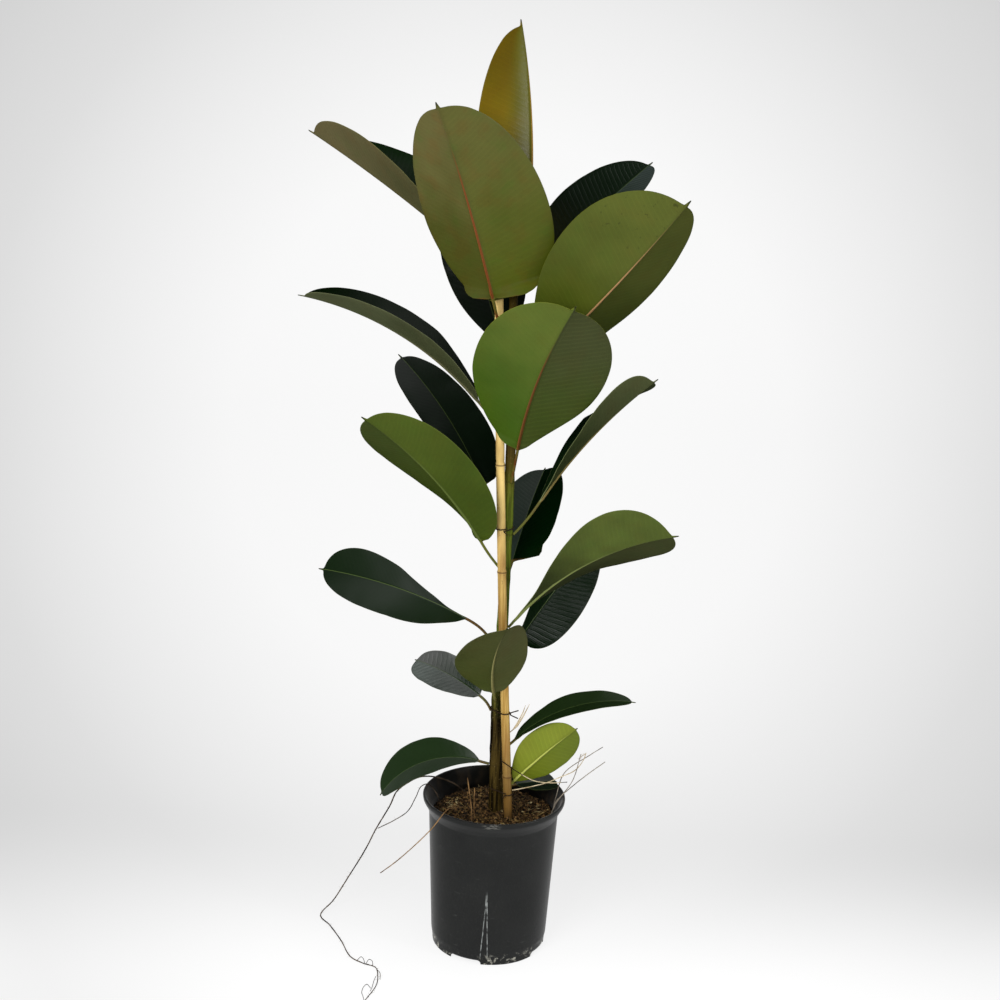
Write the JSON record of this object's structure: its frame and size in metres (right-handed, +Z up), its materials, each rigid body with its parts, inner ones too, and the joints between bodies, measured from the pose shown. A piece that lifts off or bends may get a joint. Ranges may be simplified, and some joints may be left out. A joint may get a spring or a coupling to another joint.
{
  "type": "potted rubber plant",
  "caption": "Young broad-leaved rubber plant with an upright stem tied to a cane, standing in a round tapered nursery pot of soil, with loose roots over the rim.",
  "frame": {"origin": "centre of the pot's flat base, on the floor", "axes": "+Z up along the stem, +X to the right in the picture, +Y away from the camera"},
  "size_m": [0.4997, 0.3659, 1.2133],
  "materials": {
    "pot": "matt black",
    "soil": "loose moist peat",
    "stem": "green bark",
    "cane": "smooth dry bamboo",
    "tie": "dark coated wire",
    "root": "dry root",
    "straw": "dry straw",
    "leaf": "waxy, glossy above"
  },
  "bodies": {
    "root": {"pot": "pot", "soil": "soil", "stem": "stem", "cane": "cane", "tie_low": "tie", "tie_middle": "tie", "tie_upper": "tie", "trailing_root": "root", "root_branch": "root", "brown_straw": "straw", "dark_root": "root", "pale_straw": "straw", "upright_straw": "straw", "forked_straw": "straw", "twig_upright": "root", "twig_back": "root", "twig_front": "root", "leaf_01": "leaf", "leaf_02": "leaf", "leaf_03": "leaf", "leaf_04": "leaf", "leaf_05": "leaf", "leaf_06": "leaf", "leaf_07": "leaf", "leaf_08": "leaf", "leaf_09": "leaf", "leaf_10": "leaf", "leaf_11": "leaf", "leaf_12": "leaf", "leaf_13": "leaf", "leaf_14": "leaf", "leaf_15": "leaf", "leaf_16": "leaf", "leaf_17": "leaf", "leaf_18": "leaf", "leaf_19": "leaf", "leaf_20": "leaf", "leaf_21": "leaf"}
  },
  "joints": []
}
